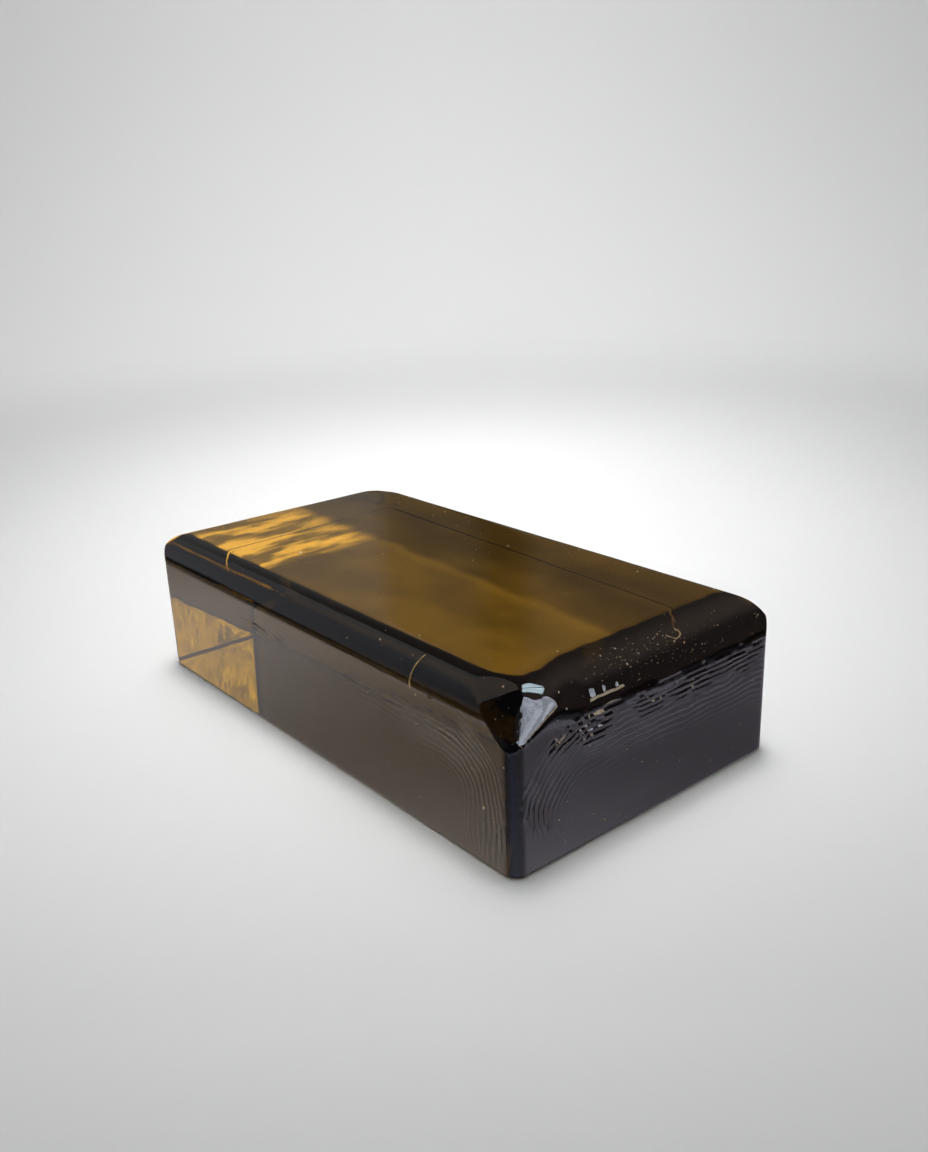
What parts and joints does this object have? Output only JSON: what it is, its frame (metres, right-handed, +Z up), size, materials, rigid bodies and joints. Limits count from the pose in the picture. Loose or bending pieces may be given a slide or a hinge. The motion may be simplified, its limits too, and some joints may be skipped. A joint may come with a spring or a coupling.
{
  "type": "rosin cake",
  "caption": "Rectangular cast cake of dark amber bow rosin with rounded top edges, mitred corners and a small chip at one corner.",
  "frame": {"origin": "middle of the underside, on the surface that the cake lies on", "axes": "+X along the length, towards the end with the chipped corner and the larger top round; +Z up, out of the rubbed top face; the chip is at the corner where +X meets -Y"},
  "size_m": [0.06, 0.0324, 0.0156],
  "materials": {
    "rosin": "polished dark amber resin, glassy, with fine cooling ripples",
    "rosin_dust": "pale powdery crumbs of the same resin",
    "bow_hair": "fine pale golden fibre, slightly glossy"
  },
  "bodies": {
    "root": {"rosin_cake": "rosin"}
  },
  "joints": []
}
